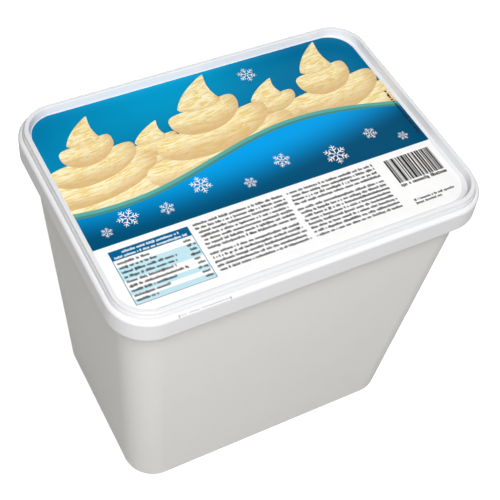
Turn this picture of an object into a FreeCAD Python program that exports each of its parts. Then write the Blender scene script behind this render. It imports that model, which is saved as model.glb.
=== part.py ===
"""A shut five-litre ice cream tub: a tapered tub, its press-on lid and the label moulded into the lid."""
import FreeCAD, Part
import math
import os
import Sketcher
from FreeCAD import Vector

# Every driving size, in millimetres. Z is up, X runs along the lid, and the tear tab faces -Y.
# The origin is the middle of the tub's foot.
SIZES = [
    ("total_height", 210.0, "foot to the top of the lid's rim"),
    ("lid_length", 226.0, "outside the skirt, along X"),
    ("lid_width", 164.0, "outside the skirt, along Y"),
    ("lid_corner", 23.8, "corner radius of the skirt"),
    ("lid_wall", 1.4, "wall of the skirt and of the panel"),
    ("skirt_drop", 19.0, "rim top down to the skirt's free edge"),
    ("ledge_drop", 4.2, "rim top down to the ledge round it"),
    ("ledge_round", 2.1, "rounding from the ledge over to the skirt"),
    ("rim_inset", 3.3, "skirt face to the rim's outer face"),
    ("rim_breadth", 2.8, "rim between its outer face and the recess"),
    ("rim_round", 0.6, "rounding of the rim's two top edges"),
    ("bead_groove", 0.7, "width of the groove along the rim's top"),
    ("bead_depth", 0.5, "depth of that groove"),
    ("recess_drop", 5.2, "rim top down to the panel"),
    ("recess_draft", 0.8, "how far the recess wall leans in over its depth"),
    ("recess_round", 0.4, "rounding where the recess wall meets the panel"),
    ("label_margin", 1.6, "bare panel round the label, if it were centred"),
    ("label_corner", 16.2, "corner radius of the label"),
    ("label_thick", 0.2, "film thickness"),
    ("label_left", 1.0, "label centre to the left of the panel's"),
    ("label_back", 1.1, "label centre behind the panel's"),
    ("tab_left", 82.3, "left cut of the tear tab, from the middle"),
    ("tab_length", 29.1, "tear tab between its two cuts"),
    ("tab_cut", 0.5, "width of the cuts"),
    ("tab_depth", 1.6, "depth of the slits that part the tab from the ledge"),
    ("tab_bridge_a", 1.9, "first bridge of the tab"),
    ("tab_bridge_b", 0.9, "second bridge of the tab"),
    ("tab_slit_a", 4.0, "first slit of the tab"),
    ("tab_slit_b", 5.6, "second slit of the tab"),
    ("skirt_overhang", 6.0, "skirt face to the tub's wall, at the skirt's free edge"),
    ("wall_lean", 13.5, "how far the tub's wall leans in from there down to the foot"),
    ("foot_round", 4.5, "rounding of the foot's edge"),
    ("tub_corner", 19.7, "radius of the tub's four upright corners"),
    ("flange_drop", 4.5, "skirt's free edge up to the tub's flange"),
    ("flange_gap", 0.3, "clearance of the flange inside the skirt"),
]

doc = FreeCAD.newDocument("ice_cream_tub")
sheet = doc.addObject("Spreadsheet::Sheet", "Sizes")
for row, (alias, value, note) in enumerate(SIZES, start=1):
    sheet.set(f"A{row}", alias)
    sheet.set(f"B{row}", str(value))
    sheet.setAlias(f"B{row}", alias)
    sheet.set(f"C{row}", note)
doc.recompute()


def origin_plane(body, role):
    """The body's own origin plane with the given role."""
    return next(f for f in body.Origin.OriginFeatures if f.Role == role)


def new_body(label):
    body = doc.addObject("PartDesign::Body", label)
    body.Label = label
    return body


def level_sketch(body, name, height):
    """An empty sketch on a level plane at a height given as an expression."""
    sketch = body.newObject("Sketcher::SketchObject", name)
    sketch.AttachmentSupport = (origin_plane(body, "XY_Plane"), [""])
    sketch.MapMode = "FlatFace"
    sketch.setExpression("AttachmentOffset.Base.z", height)
    return sketch


def dimension(sketch, constraint, expression):
    """Adds a dimension and ties it to the sheet."""
    index = sketch.addConstraint(constraint)
    sketch.setExpression(f"Constraints[{index}]", expression)


def rectangle(sketch, left, right, front, back, spans_middle):
    """A plain rectangle by the distances of its sides from the middle, as expressions.

    One that spans the middle has its right and back sides beyond it; any other lies wholly to the
    left of the middle and in front of it.
    """
    first = sketch.GeometryCount
    far = 20.0 if spans_middle else -20.0
    corners = [Vector(-30, -30, 0), Vector(far, -30, 0), Vector(far, far, 0), Vector(-30, far, 0)]
    for i in range(4):
        sketch.addGeometry(Part.LineSegment(corners[i], corners[(i + 1) % 4]), False)
    for i in range(4):
        sketch.addConstraint(Sketcher.Constraint("Coincident", first + i, 2, first + (i + 1) % 4, 1))
    sketch.addConstraint(Sketcher.Constraint("Horizontal", first))
    sketch.addConstraint(Sketcher.Constraint("Vertical", first + 1))
    sketch.addConstraint(Sketcher.Constraint("Horizontal", first + 2))
    sketch.addConstraint(Sketcher.Constraint("Vertical", first + 3))
    dimension(sketch, Sketcher.Constraint("DistanceX", first + 3, 1, -1, 1, 30.0), left)
    dimension(sketch, Sketcher.Constraint("DistanceY", first, 1, -1, 1, 30.0), front)
    for axis, line, expression in (("DistanceX", first + 1, right), ("DistanceY", first + 2, back)):
        ends = (-1, 1, line, 1) if spans_middle else (line, 1, -1, 1)
        dimension(sketch, Sketcher.Constraint(axis, *ends, 20.0), expression)


def rounded_rectangle(sketch, length, width, corner, centre_x="0", centre_y="0"):
    """Draws a rounded rectangle whose sizes and centre are expressions on the sheet."""
    half_x, half_y, bend = 60.0, 40.0, 10.0
    inner_x = half_x - bend
    inner_y = half_y - bend
    first = sketch.GeometryCount
    sides = [
        (Vector(-inner_x, -half_y, 0), Vector(inner_x, -half_y, 0)),
        (Vector(half_x, -inner_y, 0), Vector(half_x, inner_y, 0)),
        (Vector(inner_x, half_y, 0), Vector(-inner_x, half_y, 0)),
        (Vector(-half_x, inner_y, 0), Vector(-half_x, -inner_y, 0)),
    ]
    hubs = [(inner_x, -inner_y), (inner_x, inner_y), (-inner_x, inner_y), (-inner_x, -inner_y)]
    for side, ((start, end), hub) in enumerate(zip(sides, hubs)):
        sketch.addGeometry(Part.LineSegment(start, end), False)
        circle = Part.Circle(Vector(hub[0], hub[1], 0), Vector(0, 0, 1), bend)
        begin = math.radians(90.0 * (side - 1))
        sketch.addGeometry(Part.ArcOfCircle(circle, begin, begin + math.pi / 2), False)
    lines = [first + 2 * i for i in range(4)]
    arcs = [first + 2 * i + 1 for i in range(4)]
    for i in range(4):
        sketch.addConstraint(Sketcher.Constraint("Tangent", lines[i], 2, arcs[i], 1))
        sketch.addConstraint(Sketcher.Constraint("Tangent", arcs[i], 2, lines[(i + 1) % 4], 1))
    sketch.addConstraint(Sketcher.Constraint("Horizontal", lines[0]))
    sketch.addConstraint(Sketcher.Constraint("Horizontal", lines[2]))
    sketch.addConstraint(Sketcher.Constraint("Vertical", lines[1]))
    sketch.addConstraint(Sketcher.Constraint("Vertical", lines[3]))
    for arc in arcs[1:]:
        sketch.addConstraint(Sketcher.Constraint("Equal", arcs[0], arc))
    dimension(sketch, Sketcher.Constraint("Radius", arcs[0], bend), corner)
    right = f"({centre_x}) + ({length}) / 2"
    left = f"({length}) / 2 - ({centre_x})"
    back = f"({centre_y}) + ({width}) / 2"
    front = f"({width}) / 2 - ({centre_y})"
    dimension(sketch, Sketcher.Constraint("DistanceX", -1, 1, lines[1], 1, half_x), right)
    dimension(sketch, Sketcher.Constraint("DistanceX", lines[3], 1, -1, 1, half_x), left)
    dimension(sketch, Sketcher.Constraint("DistanceY", -1, 1, lines[2], 1, half_y), back)
    dimension(sketch, Sketcher.Constraint("DistanceY", lines[0], 1, -1, 1, half_y), front)


def lid_outline(body, name, inset, height):
    """A level outline of the lid, drawn inward from the skirt's face by an inset."""
    sketch = level_sketch(body, name, height)
    rounded_rectangle(
        sketch,
        f"Sizes.lid_length - 2 * ({inset})",
        f"Sizes.lid_width - 2 * ({inset})",
        f"Sizes.lid_corner - ({inset})",
    )
    return sketch


def pad(body, name, sketch, height):
    """Raises a sketch by a height given as an expression."""
    feature = body.newObject("PartDesign::Pad", name)
    feature.Profile = sketch
    feature.setExpression("Length", height)
    body.Tip = feature
    doc.recompute()
    return feature


def pocket(body, name, sketch, depth, upward=False):
    """Cuts a sketch down, or up, by a depth given as an expression, and checks that it cut."""
    before = body.Shape.Volume
    feature = body.newObject("PartDesign::Pocket", name)
    feature.Profile = sketch
    feature.setExpression("Length", depth)
    feature.Reversed = upward
    body.Tip = feature
    doc.recompute()
    if not body.Shape.Volume < before - 1e-3:
        raise RuntimeError(f"{name} cuts nothing")
    return feature


def loft(body, name, kind, lower, upper):
    """Straight loft between two outlines, adding or cutting."""
    feature = body.newObject(kind, name)
    feature.Profile = lower
    feature.Sections = [upper]
    feature.Ruled = True
    body.Tip = feature
    doc.recompute()
    return feature


def edges_where(shape, test):
    """Names of the edges for whose points the test holds."""
    names = []
    for index, edge in enumerate(shape.Edges, start=1):
        if test(edge.discretize(5)):
            names.append(f"Edge{index}")
    return names


def fillet(body, name, test, radius):
    """Rounds the edges that the test picks."""
    base = body.Tip
    names = edges_where(base.Shape, test)
    if not names:
        raise RuntimeError(f"{name} finds no edge")
    feature = body.newObject("PartDesign::Fillet", name)
    feature.Base = (base, names)
    feature.setExpression("Radius", radius)
    body.Tip = feature
    doc.recompute()
    return feature


def lean_out(body, name, angle):
    """Leans the upright faces outward from the ground by an angle given as an expression."""
    base = body.Tip
    faces = []
    for index, face in enumerate(base.Shape.Faces, start=1):
        if abs(face.normalAt(0, 0).z) < 0.5:
            faces.append(f"Face{index}")
    feature = body.newObject("PartDesign::Draft", name)
    feature.Base = (base, faces)
    feature.NeutralPlane = (origin_plane(body, "XY_Plane"), [""])
    feature.setExpression("Angle", angle)
    feature.Reversed = True
    body.Tip = feature
    doc.recompute()
    return feature


def size(alias):
    return float(sheet.get(alias))


def at_level(level):
    return lambda points: all(abs(point.z - level) < 1e-4 for point in points)


def upright(points):
    return abs(points[0].z - points[-1].z) > 1.0


def inside_lid(point, inset):
    """Distance by which a point lies inside the lid's outline drawn at an inset."""
    half_x = size("lid_length") / 2 - inset
    half_y = size("lid_width") / 2 - inset
    bend = size("lid_corner") - inset
    over_x = max(abs(point.x) - (half_x - bend), 0.0)
    over_y = max(abs(point.y) - (half_y - bend), 0.0)
    return bend - math.hypot(over_x, over_y)


def on_outline(level, inset):
    return lambda points: at_level(level)(points) and all(
        abs(inside_lid(point, inset)) < 1e-3 for point in points
    )


# Heights, as expressions on the sheet.
SKIRT_EDGE = "Sizes.total_height - Sizes.skirt_drop"
LEDGE = "Sizes.total_height - Sizes.ledge_drop"
PANEL = "Sizes.total_height - Sizes.recess_drop"
SEAT = f"{PANEL} - Sizes.lid_wall"


def make_tub():
    """The tapered tub with the flange that the lid presses over; shut, so solid up to the lid."""
    body = new_body("tub")
    foot = level_sketch(body, "foot_outline", "0")
    half_x = "(Sizes.lid_length / 2 - Sizes.skirt_overhang - Sizes.wall_lean)"
    half_y = "(Sizes.lid_width / 2 - Sizes.skirt_overhang - Sizes.wall_lean)"
    rectangle(foot, half_x, half_x, half_y, half_y, spans_middle=True)
    pad(body, "upright_block", foot, SEAT)
    lean_out(body, "tapered_walls", f"atan(Sizes.wall_lean / ({SKIRT_EDGE}))")
    fillet(body, "upright_corners", upright, "Sizes.tub_corner")
    fillet(body, "foot_edge", at_level(0.0), "Sizes.foot_round")
    flange_foot = f"{SKIRT_EDGE} + Sizes.flange_drop"
    flange = lid_outline(body, "flange_outline", "Sizes.lid_wall + Sizes.flange_gap", flange_foot)
    pad(body, "flange", flange, f"({SEAT}) - ({flange_foot})")
    return body


def cut_tab(body):
    """The tear tab: two cuts down the skirt, and slits with bridges where it joins the ledge."""
    half_cut = "Sizes.tab_cut / 2"
    reach = "Sizes.lid_wall"
    front = "Sizes.lid_width / 2"
    left = "Sizes.tab_left"
    right = "(Sizes.tab_left - Sizes.tab_length)"
    cuts = level_sketch(body, "tab_cuts_outline", SKIRT_EDGE)
    for place in (left, right):
        sides = (f"{place} + {half_cut}", f"{place} - {half_cut}", f"{front} + 1", f"{front} - {reach}")
        rectangle(cuts, *sides, spans_middle=False)
    pocket(body, "tab_cuts", cuts, "Sizes.skirt_drop - Sizes.ledge_drop", upward=True)
    slits = level_sketch(body, "tab_slits_outline", LEDGE)
    stop_a = f"({left} - Sizes.tab_slit_a)"
    start_b = f"({stop_a} - Sizes.tab_bridge_a)"
    stop_b = f"({start_b} - Sizes.tab_slit_b)"
    start_c = f"({stop_b} - Sizes.tab_bridge_b)"
    near = f"{front} - Sizes.lid_wall + Sizes.tab_cut"
    far = f"{front} - Sizes.lid_wall"
    for start, stop in ((left, stop_a), (start_b, stop_b), (start_c, right)):
        rectangle(slits, start, stop, near, far, spans_middle=False)
    pocket(body, "tab_slits", slits, "Sizes.tab_depth")


def make_lid():
    """The press-on lid: skirt, rounded ledge, raised rim with a beaded top, and sunk panel."""
    body = new_body("lid")
    skirt = lid_outline(body, "skirt_outline", "0", SKIRT_EDGE)
    pad(body, "skirt_block", skirt, "Sizes.skirt_drop - Sizes.ledge_drop")
    ledge_level = size("total_height") - size("ledge_drop")
    fillet(body, "ledge_rounding", on_outline(ledge_level, 0.0), "Sizes.ledge_round")
    rim = lid_outline(body, "rim_outline", "Sizes.rim_inset", LEDGE)
    pad(body, "rim_block", rim, "Sizes.ledge_drop")

    inner = "Sizes.rim_inset + Sizes.rim_breadth"
    mouth = lid_outline(body, "recess_mouth", inner, "Sizes.total_height")
    floor = lid_outline(body, "recess_floor", f"{inner} + Sizes.recess_draft", PANEL)
    before = body.Shape.Volume
    loft(body, "recess", "PartDesign::SubtractiveLoft", floor, mouth)
    if not body.Shape.Volume < before:
        raise RuntimeError("the recess cuts nothing")

    rim_top = size("total_height")
    outer_inset = size("rim_inset")
    inner_inset = outer_inset + size("rim_breadth")
    panel_level = rim_top - size("recess_drop")
    floor_inset = inner_inset + size("recess_draft")
    fillet(body, "rim_outer_rounding", on_outline(rim_top, outer_inset), "Sizes.rim_round")
    fillet(body, "rim_inner_rounding", on_outline(rim_top, inner_inset), "Sizes.rim_round")
    fillet(body, "panel_rounding", on_outline(panel_level, floor_inset), "Sizes.recess_round")

    middle = "Sizes.rim_inset + Sizes.rim_breadth / 2"
    bead = lid_outline(body, "bead_outline", f"{middle} - Sizes.bead_groove / 2", "Sizes.total_height")
    rounded_rectangle(
        bead,
        f"Sizes.lid_length - 2 * ({middle} + Sizes.bead_groove / 2)",
        f"Sizes.lid_width - 2 * ({middle} + Sizes.bead_groove / 2)",
        f"Sizes.lid_corner - ({middle} + Sizes.bead_groove / 2)",
    )
    pocket(body, "bead_groove_cut", bead, "Sizes.bead_depth")

    hollow = lid_outline(body, "hollow_outline", "Sizes.lid_wall", SKIRT_EDGE)
    pocket(body, "hollow", hollow, f"({SEAT}) - ({SKIRT_EDGE})", upward=True)
    cut_tab(body)
    return body


def make_label():
    """The printed film moulded into the panel, a little left of and behind its middle."""
    body = new_body("label")
    inset = "Sizes.rim_inset + Sizes.rim_breadth + Sizes.recess_draft + Sizes.label_margin"
    outline = level_sketch(body, "label_outline", PANEL)
    rounded_rectangle(
        outline,
        f"Sizes.lid_length - 2 * ({inset})",
        f"Sizes.lid_width - 2 * ({inset})",
        "Sizes.label_corner",
        centre_x="-Sizes.label_left",
        centre_y="Sizes.label_back",
    )
    pad(body, "film", outline, "Sizes.label_thick")
    return body


parts = [make_tub(), make_lid(), make_label()]
doc.recompute()

for item in doc.Objects:
    if "Invalid" in item.State or "Error" in item.State:
        raise RuntimeError(f"{item.Label} failed: {item.State}")
for item in parts:
    shape = item.Shape
    if shape.isNull() or not shape.isValid() or len(shape.Solids) != 1:
        raise RuntimeError(f"{item.Label} is not one valid solid")

os.makedirs("parts", exist_ok=True)
for item in parts:
    item.Shape.exportStep(f"parts/{item.Label}.step")
    box = item.Shape.BoundBox
    print(f"{item.Label}: {item.Shape.Volume / 1000:.1f} cm3, {box.XLength:.2f} x {box.YLength:.2f} x {box.ZLength:.2f}")
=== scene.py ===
"""Looks of a shut five-litre ice cream tub: leaning tub, press-on lid, printed film, and a studio."""

import math

import bmesh
import bpy
from bpy.props import FloatProperty, FloatVectorProperty, IntProperty, PointerProperty
from mathutils import Matrix, Vector


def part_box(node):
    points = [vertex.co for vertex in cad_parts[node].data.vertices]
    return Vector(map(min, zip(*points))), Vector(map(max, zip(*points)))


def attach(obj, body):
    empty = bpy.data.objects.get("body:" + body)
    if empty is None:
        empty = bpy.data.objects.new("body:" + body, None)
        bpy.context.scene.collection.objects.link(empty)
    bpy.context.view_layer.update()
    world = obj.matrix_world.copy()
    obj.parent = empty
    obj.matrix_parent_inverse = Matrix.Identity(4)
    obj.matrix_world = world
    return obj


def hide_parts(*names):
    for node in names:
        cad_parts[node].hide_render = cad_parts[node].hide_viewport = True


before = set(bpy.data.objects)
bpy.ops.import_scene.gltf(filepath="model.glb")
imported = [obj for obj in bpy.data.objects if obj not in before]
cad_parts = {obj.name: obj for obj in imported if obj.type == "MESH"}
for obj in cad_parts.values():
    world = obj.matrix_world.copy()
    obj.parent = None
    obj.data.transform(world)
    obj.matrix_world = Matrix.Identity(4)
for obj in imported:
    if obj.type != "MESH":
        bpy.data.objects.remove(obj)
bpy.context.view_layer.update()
LID_LOW, LID_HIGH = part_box("lid")
FILM_LOW, FILM_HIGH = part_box("label")

bl_info = {
    "name": "Ice cream tub",
    "version": (1, 0, 0),
    "blender": (4, 5, 0),
    "location": "3D View > Sidebar > Ice cream tub",
    "description": "Builds a shut ice cream tub with its lid and printed film",
    "category": "Object",
}


def length(name, description, millimetres):
    return FloatProperty(
        name=name, description=description, default=millimetres / 1000, unit="LENGTH", subtype="DISTANCE"
    )


def angle(name, description, degrees):
    return FloatProperty(name=name, description=description, default=math.radians(degrees), subtype="ANGLE")


def linear(part):
    """One channel of a screen colour, from 0 to 255, as the light it stands for."""
    value = part / 255
    return value / 12.92 if value <= 0.04045 else ((value + 0.055) / 1.055) ** 2.4


def colour(name, description, red, green, blue):
    return FloatVectorProperty(
        name=name,
        description=description,
        default=(linear(red), linear(green), linear(blue)),
        size=3,
        min=0.0,
        max=1.0,
        subtype="COLOR",
    )


class TubSizes(bpy.types.PropertyGroup):
    overhang: length("Overhang", "Skirt face to the tub's wall, at the skirt's free edge", 6.0)
    lean: length("Lean", "How far the wall leans in from there down to the foot", 13.5)
    corner: length("Corner", "Radius of the four upright corners", 19.7)
    foot_round: length("Foot rounding", "Rounding of the foot's edge", 4.5)
    flange_drop: length("Flange drop", "Skirt's free edge up to the flange", 4.5)
    flange_gap: length("Flange gap", "Clearance of the flange inside the skirt", 0.3)


class LidSizes(bpy.types.PropertyGroup):
    corner: length("Corner", "Corner radius of the skirt", 23.8)
    wall: length("Wall", "Wall of the skirt and of the panel", 1.4)
    edge_round: length("Edge rounding", "Rounding of the skirt's free edge", 0.45)
    ledge_drop: length("Ledge drop", "Rim top down to the ledge round it", 4.9)
    ledge_round: length("Ledge rounding", "Rounding from the ledge over to the skirt", 1.9)
    step_inset: length("Step inset", "Skirt face to the foot of the rim's lower step", 2.4)
    step_rise: length("Step rise", "Ledge up to the tread between the rim's two steps", 2.5)
    rim_inset: length("Rim inset", "Skirt face to the foot of the rim's upper step", 3.2)
    rim_breadth: length("Rim breadth", "Rim between that foot and the recess", 2.9)
    rim_round: length("Rim rounding", "Rounding of the rim's inner top edge", 0.6)
    rim_shoulder: length("Rim shoulder", "Rounding of the rim's outer top edge", 0.7)
    rim_lean: length("Rim lean", "How far each step leans in over its height", 0.42)
    groove: length("Groove", "Width of the groove along the rim's top", 0.5)
    groove_depth: length("Groove depth", "Depth of that groove", 0.25)
    recess_drop: length("Recess drop", "Rim top down to the panel", 5.2)
    recess_draft: length("Recess draft", "How far the recess wall leans in", 0.8)
    recess_round: length("Recess rounding", "Rounding where the recess wall meets the panel", 0.4)
    tab_left: length("Tab place", "Left cut of the tear tab, from the middle", 82.3)
    tab_length: length("Tab length", "Tear tab between its two cuts", 29.1)
    tab_cut: length("Tab cut", "Width of the cuts", 0.45)
    tab_depth: length("Tab slit depth", "Depth of the slits on the shoulder", 1.6)
    tab_slit: length("Tab slit", "Width of the slit along the shoulder", 0.38)
    tab_score: length("Tab score", "Depth of the cuts where a web still holds the tab", 0.16)


class PrintSizes(bpy.types.PropertyGroup):
    corner: length("Corner", "Corner radius of the film", 16.2)
    layer: length("Ink step", "Height of one layer of ink", 0.012)
    picture_front: length("Picture edge", "Front edge of the picture field, from the lid's middle", -26.4)
    wave_level: length("Wave level", "Mean height of the wave field over the picture's front edge", 31.0)
    wave_rise: length("Wave rise", "Half of the wave's height", 10.5)
    wave_edge: length("Wave edge", "Breadth of the band along the wave", 4.2)
    letter_short: length("Shortest mark", "Narrowest mark of the small print", 0.4)
    letter_long: length("Longest mark", "Widest mark of the small print", 0.95)
    letter_gap: length("Mark gap", "Gap between two marks", 0.18)
    letter_height: length("Mark height", "Height of the marks", 1.26)
    line_pitch: length("Line pitch", "Distance from line to line", 2.85)
    bar_module: length("Bar module", "Width of the narrowest bar", 0.4)
    bar_height: length("Bar height", "Height of the bars", 18.0)
    seed: IntProperty(name="Seed", description="Seed of the small print", default=7)


class Finishes(bpy.types.PropertyGroup):
    tub: colour("Tub", "Plastic of the tub", 228, 229, 229)
    lid: colour("Lid", "Plastic of the lid", 228, 229, 232)
    film: colour("Film", "Bare film", 252, 252, 253)
    blue_bright: colour("Bright blue", "Ground of the picture where it glows", 0, 156, 206)
    blue_dark: colour("Dark blue", "Ground of the picture in its corners", 0, 104, 150)
    wave_bright: colour("Wave blue", "Top of the wave field", 0, 160, 236)
    wave_dark: colour("Wave shade", "Foot of the wave field", 0, 78, 116)
    teal: colour("Teal", "Band along the wave", 92, 176, 168)
    cream: colour("Cream", "Lit part of the swirls", 253, 244, 204)
    crease: colour("Crease", "Creases of the swirls", 238, 208, 130)
    shade: colour("Swirl shade", "Shaded side of the swirls", 216, 178, 120)
    tint: colour("Tint", "Tinted rows of the table", 194, 229, 240)
    heading: colour("Heading", "Heading of the table", 0, 97, 146)
    ink: colour("Ink", "Small print", 36, 36, 40)


class StageSettings(bpy.types.PropertyGroup):
    azimuth: angle("Azimuth", "Camera's turn from the front towards the right", -33.88)
    elevation: angle("Elevation", "Camera's height over the horizon", 50.83)
    roll: angle("Roll", "Camera's turn about its own axis", 8.13)
    distance: length("Distance", "Camera to its aim", 695.94)
    aim: FloatVectorProperty(
        name="Aim",
        description="Point that the camera looks at",
        default=(0.005676, -0.004546, 0.125995),
        size=3,
        unit="LENGTH",
        subtype="XYZ",
    )
    lens: FloatProperty(name="Lens", description="Focal length in mm on a 36 mm sensor", default=81.62)
    key: FloatProperty(name="Key", description="Light of the key lamp on what faces it", default=0.845)
    low: FloatProperty(name="Low lamp", description="Light of the low lamp on what faces it", default=0.37)
    fill: FloatProperty(name="Fill", description="Light of the lamp behind on what faces it", default=0.62)
    sky: FloatProperty(name="Sky", description="Strength of the even light", default=0.14)


class TubSettings(bpy.types.PropertyGroup):
    tub: PointerProperty(type=TubSizes)
    lid: PointerProperty(type=LidSizes)
    print_sizes: PointerProperty(type=PrintSizes)
    finishes: PointerProperty(type=Finishes)
    stage: PointerProperty(type=StageSettings)


# Node trees written as expressions.


class Wire:
    """An output socket that sums, products and comparisons can be written with."""

    def __init__(self, graph, socket):
        self.graph = graph
        self.socket = socket

    def math(self, operation, *others):
        return self.graph.math(operation, self, *others)

    def __add__(self, other):
        return self.math("ADD", other)

    def __radd__(self, other):
        return self.graph.math("ADD", other, self)

    def __sub__(self, other):
        return self.math("SUBTRACT", other)

    def __rsub__(self, other):
        return self.graph.math("SUBTRACT", other, self)

    def __mul__(self, other):
        return self.math("MULTIPLY", other)

    def __rmul__(self, other):
        return self.graph.math("MULTIPLY", other, self)

    def __truediv__(self, other):
        return self.math("DIVIDE", other)

    def __rtruediv__(self, other):
        return self.graph.math("DIVIDE", other, self)

    def __pow__(self, other):
        return self.math("POWER", other)

    def __lt__(self, other):
        return self.math("LESS_THAN", other)

    def __gt__(self, other):
        return self.math("GREATER_THAN", other)

    def floor(self):
        return self.math("FLOOR")

    def least(self, other):
        return self.math("MINIMUM", other)

    def most(self, other):
        return self.math("MAXIMUM", other)

    def clamped(self):
        return self.most(0.0).least(1.0)


class Graph:
    """Adds nodes to one tree."""

    def __init__(self, tree):
        self.tree = tree

    def node(self, kind, settings=None, sockets=None, output=0):
        """A node of a type: first its settings, then its sockets by name or index, as values or wires."""
        node = self.tree.nodes.new(kind)
        for name, value in (settings or {}).items():
            if name == "stops":
                self.set_stops(node, value)
            else:
                setattr(node, name, value)
        for name, value in (sockets or {}).items():
            if isinstance(value, Wire):
                self.tree.links.new(value.socket, node.inputs[name])
            else:
                node.inputs[name].default_value = value
        return Wire(self, node.outputs[output]) if node.outputs else node

    @staticmethod
    def set_stops(node, stops):
        ramp = node.color_ramp
        while len(ramp.elements) < len(stops):
            ramp.elements.new(0.5)
        for element, (place, grey) in zip(ramp.elements, stops):
            element.position = place
            element.color = (grey, grey, grey, 1.0)

    def math(self, operation, *values):
        return self.node("ShaderNodeMath", {"operation": operation}, dict(enumerate(values)))

    def vector(self, x, y, z=0.0):
        return self.node("ShaderNodeCombineXYZ", {}, {"X": x, "Y": y, "Z": z})

    def parts(self, vector):
        first = self.node("ShaderNodeSeparateXYZ", {}, {"Vector": vector})
        outputs = first.socket.node.outputs
        return [Wire(self, outputs[i]) for i in range(3)]

    def mix(self, amount, first, second):
        """Blend of two colours, each a colour or a wire."""
        colours = [c if isinstance(c, Wire) else (*c, 1.0) for c in (first, second)]
        settings = {"data_type": "RGBA", "blend_type": "MIX"}
        return self.node("ShaderNodeMix", settings, {0: amount, 6: colours[0], 7: colours[1]}, 2)

    def noise(self, vector, scale, detail=2.0, roughness=0.5, distortion=0.0):
        sockets = {"Vector": vector, "Scale": scale, "Detail": detail}
        sockets |= {"Roughness": roughness, "Distortion": distortion}
        return self.node("ShaderNodeTexNoise", {}, sockets)

    def step(self, value, low, high):
        """Smooth rise from 0 at low to 1 at high."""
        settings = {"interpolation_type": "SMOOTHSTEP"}
        sockets = {"Value": value, "From Min": low, "From Max": high}
        return self.node("ShaderNodeMapRange", settings, sockets)


def finish(name, paint, roughness, bump=None, gloss=0.5):
    """A material from a function that takes the graph and the object's coordinates and gives the colour.

    The roughness is a function too, and the bump gives a height in metres.
    """
    material = bpy.data.materials.new(name)
    material.use_nodes = True
    tree = material.node_tree
    tree.nodes.clear()
    graph = Graph(tree)
    place = graph.node("ShaderNodeTexCoord", {}, {}, "Object")
    sockets = {"Base Color": paint(graph, place), "Roughness": roughness(graph, place)}
    sockets["Specular IOR Level"] = gloss
    if bump:
        relief = {"Height": bump(graph, place), "Strength": 1.0, "Distance": 1.0}
        sockets["Normal"] = graph.node("ShaderNodeBump", {}, relief)
    surface = graph.node("ShaderNodeBsdfPrincipled", {}, sockets)
    graph.node("ShaderNodeOutputMaterial", {}, {"Surface": surface})
    return material


# Meshes.


def add_object(name, mesh):
    piece = bpy.data.objects.new(name, mesh)
    bpy.context.scene.collection.objects.link(piece)
    return piece


def finish_piece(piece, material, slot, *nodes):
    """Gives a piece its material and its place in the frame."""
    piece.data.materials.clear()
    piece.data.materials.append(material)
    if nodes:
        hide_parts(*nodes)
    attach(piece, "root")


def lay_print(name, mesh, material):
    """Turns a mesh in the making into a piece of print on the label."""
    piece = add_object(name, made(mesh, name))
    finish_piece(piece, material, "label")
    return piece


def outline(half_x, half_y, corner, middle=(0.0, 0.0)):
    """A rounded rectangle, anticlockwise, its points dense round the corners and on either side of them."""
    turns = 26
    guard, near = 0.0012, 0.012
    points = []
    hubs = [(1, -1, -90), (1, 1, 0), (-1, 1, 90), (-1, -1, 180)]
    for index, (sign_x, sign_y, start) in enumerate(hubs):
        hub = Vector((sign_x * (half_x - corner), sign_y * (half_y - corner)))
        arc = []
        for i in range(turns + 1):
            turn = math.radians(start + 90 * i / turns)
            arc.append(hub + corner * Vector((math.cos(turn), math.sin(turn))))
        along = Vector((-math.sin(math.radians(start + 90)), math.cos(math.radians(start + 90))))
        run = 2 * ((half_y - corner) if index % 2 == 0 else (half_x - corner))
        points += arc
        for reach in (guard, near, run / 4, run / 2, 3 * run / 4, run - near, run - guard):
            points.append(arc[-1] + along * reach)
    return [point + Vector(middle) for point in points]


def rounded_profile(points, guard, steps=7):
    """Rounds a run of (inset, height, radius) corners, with a guard point each side of each rounding."""
    smooth = [Vector(points[0][:2])]
    for before, here, after in zip(points, points[1:], points[2:]):
        corner = Vector(here[:2])
        if here[2] == 0:
            smooth.append(corner)
            continue
        back = (Vector(before[:2]) - corner).normalized()
        forth = (Vector(after[:2]) - corner).normalized()
        half = back.angle(forth) / 2
        reach = here[2] / math.tan(half)
        hub = corner + (back + forth).normalized() * here[2] / math.sin(half)
        first = corner + back * reach - hub
        sweep = math.pi - 2 * half
        turn = -1 if back.x * forth.y - back.y * forth.x > 0 else 1
        smooth.append(corner + back * (reach + guard))
        for i in range(steps + 1):
            bend = turn * sweep * i / steps
            spin = Matrix.Rotation(bend, 2)
            smooth.append(hub + spin @ first)
        smooth.append(corner + forth * (reach + guard))
    smooth.append(Vector(points[-1][:2]))
    return smooth


def lofted(name, rings, sharp=40):
    """A closed mesh through level rings of equal count, capped at both ends. Sharp is in degrees."""
    mesh = bmesh.new()
    levels = []
    for ring, height in rings:
        levels.append([mesh.verts.new((point.x, point.y, height)) for point in ring])
    count = len(levels[0])
    for lower, upper in zip(levels, levels[1:]):
        for i in range(count):
            j = (i + 1) % count
            mesh.faces.new((lower[i], lower[j], upper[j], upper[i]))
    mesh.faces.new(reversed(levels[0]))
    mesh.faces.new(levels[-1])
    bmesh.ops.recalc_face_normals(mesh, faces=mesh.faces)
    for face in mesh.faces:
        face.smooth = True
    data = bpy.data.meshes.new(name)
    mesh.to_mesh(data)
    mesh.free()
    data.set_sharp_from_angle(angle=math.radians(sharp))
    return data


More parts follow.
